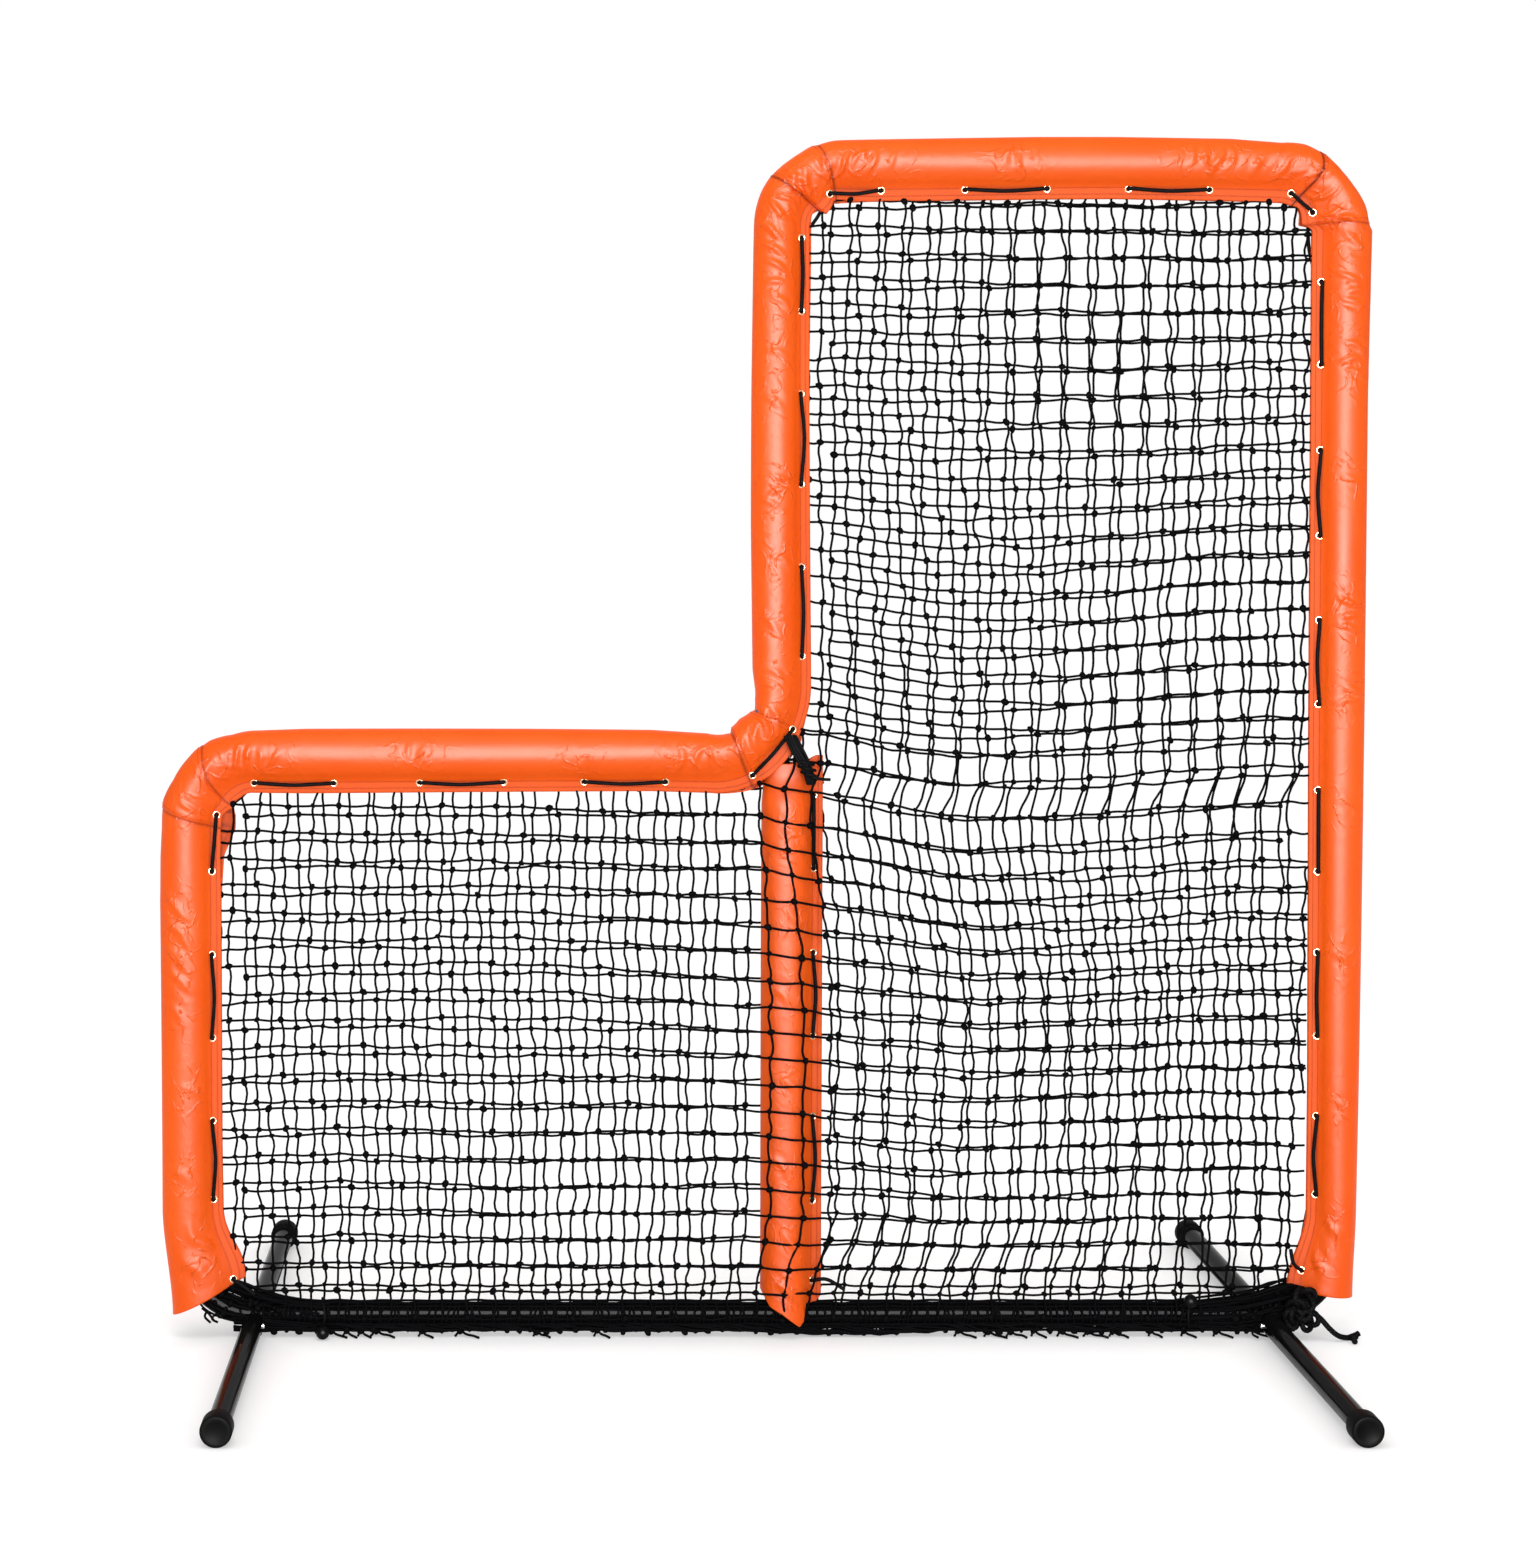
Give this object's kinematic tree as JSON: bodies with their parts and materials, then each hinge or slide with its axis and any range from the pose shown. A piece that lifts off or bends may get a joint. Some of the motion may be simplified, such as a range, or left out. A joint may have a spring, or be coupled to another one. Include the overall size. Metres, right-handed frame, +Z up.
{
  "type": "baseball l screen",
  "caption": "Padded L-shaped pitching screen: tube frame with a throwing notch, laced vinyl padding, double net and slip-on half legs with rubber tips.",
  "frame": {"origin": "on the floor, under the middle of the frame", "axes": "+X along the bottom rail towards the tall side, +Y to the rear, +Z up"},
  "size_m": [2.181, 1.22, 2.1779],
  "materials": {
    "black_paint": "gloss black paint",
    "orange_vinyl": "glossy vinyl-coated fabric",
    "grey_foam": "closed-cell foam",
    "black_rubber": "matt",
    "bright_steel": "bright",
    "black_twine": "knotted twine",
    "black_cord": "braided cord",
    "black_plastic": "satin"
  },
  "bodies": {
    "root": {"bottom_left_elbow": "black_paint", "bottom_rail": "black_paint", "bottom_right_elbow": "black_paint", "centre_cover": "orange_vinyl", "centre_foam": "grey_foam", "centre_lace": "black_cord", "centre_post": "black_paint", "front_lower_net": "black_twine", "front_upper_net": "black_twine", "inner_cover": "orange_vinyl", "inner_elbow": "black_paint", "left_bungee_ball": "black_plastic", "left_bungee_loop": "black_cord", "left_cover": "orange_vinyl", "left_cross_spigot": "black_paint", "left_foam": "grey_foam", "left_front_clip": "bright_steel", "left_front_leg": "black_paint", "left_front_tip": "black_rubber", "left_post": "black_paint", "left_rear_clip": "bright_steel", "left_rear_leg": "black_paint", "left_rear_tip": "black_rubber", "low_cover": "orange_vinyl", "low_foam": "grey_foam", "low_rail": "black_paint", "lower_left_cover": "orange_vinyl", "lower_left_elbow": "black_paint", "outer_lace": "black_cord", "rear_lower_net": "black_twine", "rear_upper_net": "black_twine", "right_bungee_ball": "black_plastic", "right_bungee_loop": "black_cord", "right_cover": "orange_vinyl", "right_cross_spigot": "black_paint", "right_foam": "grey_foam", "right_front_clip": "bright_steel", "right_front_leg": "black_paint", "right_front_tip": "black_rubber", "right_post": "black_paint", "right_rear_clip": "bright_steel", "right_rear_leg": "black_paint", "right_rear_tip": "black_rubber", "rope_end": "black_cord", "rope_knot": "black_cord", "tall_cover": "orange_vinyl", "tall_foam": "grey_foam", "tall_post": "black_paint", "top_cover": "orange_vinyl", "top_foam": "grey_foam", "top_left_cover": "orange_vinyl", "top_left_elbow": "black_paint", "top_rail": "black_paint", "top_right_cover": "orange_vinyl", "top_right_elbow": "black_paint"},
    "left_front_button": {"left_front_button": "bright_steel"},
    "left_rear_button": {"left_rear_button": "bright_steel"},
    "right_front_button": {"right_front_button": "bright_steel"},
    "right_rear_button": {"right_rear_button": "bright_steel"}
  },
  "joints": [
    {"name": "left_front_press", "type": "slide", "parent": "root", "child": "left_front_button", "axis": [-1, 0, 0], "range_m": [0, 0.005], "stiffness_N_per_m": 800, "springref_m": -0.002, "deforming": ["left_front_clip"]},
    {"name": "left_rear_press", "type": "slide", "parent": "root", "child": "left_rear_button", "axis": [-1, 0, 0], "range_m": [0, 0.005], "stiffness_N_per_m": 800, "springref_m": -0.002, "deforming": ["left_rear_clip"]},
    {"name": "right_front_press", "type": "slide", "parent": "root", "child": "right_front_button", "axis": [1, 0, 0], "range_m": [0, 0.005], "stiffness_N_per_m": 800, "springref_m": -0.002, "deforming": ["right_front_clip"]},
    {"name": "right_rear_press", "type": "slide", "parent": "root", "child": "right_rear_button", "axis": [1, 0, 0], "range_m": [0, 0.005], "stiffness_N_per_m": 800, "springref_m": -0.002, "deforming": ["right_rear_clip"]}
  ]
}
